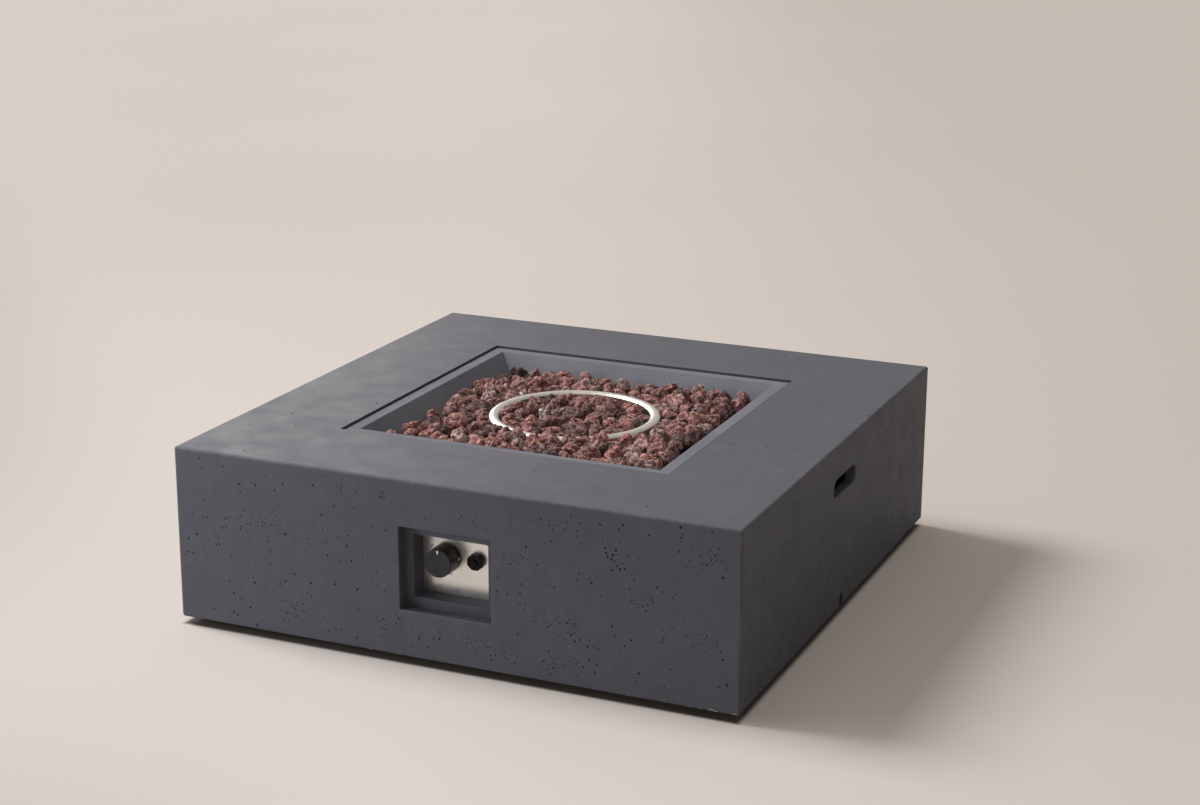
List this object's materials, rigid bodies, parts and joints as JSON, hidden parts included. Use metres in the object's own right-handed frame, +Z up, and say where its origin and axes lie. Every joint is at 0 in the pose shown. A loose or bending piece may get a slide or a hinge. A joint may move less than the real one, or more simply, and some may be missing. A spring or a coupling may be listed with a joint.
{
  "type": "gas fire pit",
  "caption": "Low square gas fire pit in a moulded concrete-look table: sunken burner pan with lava rock and ring burner, recessed knob and igniter, carrying slots, rubber feet.",
  "frame": {"origin": "on the ground, under the middle of the table", "axes": "+X to the right of a person facing the controls, +Y from the controls to the back, +Z up"},
  "size_m": [0.9, 0.9, 0.282],
  "materials": {
    "concrete": "matt moulded fibre concrete with pinholes",
    "pan_paint": "satin powder coat",
    "stainless": "satin stainless",
    "brass": "machined",
    "aluminium": "cast and drawn",
    "rubber": "moulded",
    "black_plastic": "fine texture",
    "button_plastic": "smooth",
    "white_plastic": "smooth",
    "zinc_steel": "zinc plated",
    "spring_steel": "drawn",
    "ceramic": "unglazed",
    "battery_case": "plain wrapped",
    "silicone": "silicone sleeve",
    "copper": "drawn copper",
    "lava_rock": "porous volcanic rock"
  },
  "bodies": {
    "table": {"battery": "battery_case", "bracket_nuts": "zinc_steel", "bracket_screws": "zinc_steel", "burner_cross_tube": "stainless", "burner_elbow": "brass", "burner_lock_nuts": "zinc_steel", "burner_pan": "pan_paint", "burner_ring": "stainless", "control_plate": "stainless", "electrode": "ceramic", "flame_sensor": "stainless", "foot_screws": "zinc_steel", "gas_inlet_fitting": "brass", "gas_jet": "brass", "heat_shield": "zinc_steel", "igniter_body": "black_plastic", "igniter_lock_nut": "black_plastic", "ignition_lead": "silicone", "inlet_nipple": "brass", "jet_holder": "brass", "lava_rock_fill": "lava_rock", "lava_rocks": "lava_rock", "mixer_tube": "stainless", "pipe_nuts": "brass", "plate_screws": "zinc_steel", "rubber_foot_back_left": "rubber", "rubber_foot_back_right": "rubber", "rubber_foot_front_left": "rubber", "rubber_foot_front_right": "rubber", "sensor_bracket": "zinc_steel", "sensor_lead": "copper", "shield_screws": "zinc_steel", "spark_rod": "stainless", "supply_pipe": "aluminium", "table_shell": "concrete", "valve_body": "aluminium", "valve_screws": "zinc_steel", "valve_spring": "spring_steel"},
    "valve_plunger": {"valve_plunger": "spring_steel"},
    "knob": {"knob": "black_plastic", "knob_pointer": "white_plastic", "valve_stem": "spring_steel"},
    "igniter_contact": {"contact_spring": "spring_steel"},
    "igniter_cap": {"igniter_cap": "black_plastic"},
    "igniter_button": {"igniter_button": "button_plastic"},
    "air_shutter": {"air_shutter": "zinc_steel", "shutter_screw": "zinc_steel"}
  },
  "joints": [
    {"name": "knob_push", "type": "slide", "parent": "table", "child": "valve_plunger", "axis": [0, 1, 0], "range_m": [0, 0.003], "stiffness_N_per_m": 500, "deforming": ["valve_spring"]},
    {"name": "knob_turn", "type": "hinge", "parent": "valve_plunger", "child": "knob", "pos_m": [-0.022, -0.41, 0.155], "axis": [0, -1, 0], "range_deg": [0, 180]},
    {"name": "cap_travel", "type": "slide", "parent": "table", "child": "igniter_contact", "axis": [0, -1, 0], "range_m": [0, 0.0045]},
    {"name": "cap_unscrew", "type": "hinge", "parent": "igniter_contact", "child": "igniter_cap", "pos_m": [0.027, -0.405, 0.157], "axis": [0, -1, 0], "range_deg": [0, 1080]},
    {"name": "igniter_press", "type": "slide", "parent": "igniter_cap", "child": "igniter_button", "axis": [0, 1, 0], "range_m": [0, 0.002], "stiffness_N_per_m": 300, "deforming": ["contact_spring"]},
    {"name": "shutter_turn", "type": "hinge", "parent": "table", "child": "air_shutter", "pos_m": [0, -0.109, 0.1785], "axis": [0, 1, 0], "range_deg": [0, 60]}
  ],
  "couplings": [
    {"joint": "cap_unscrew", "follows": "cap_travel", "rad_per_m": 4188.8}
  ]
}
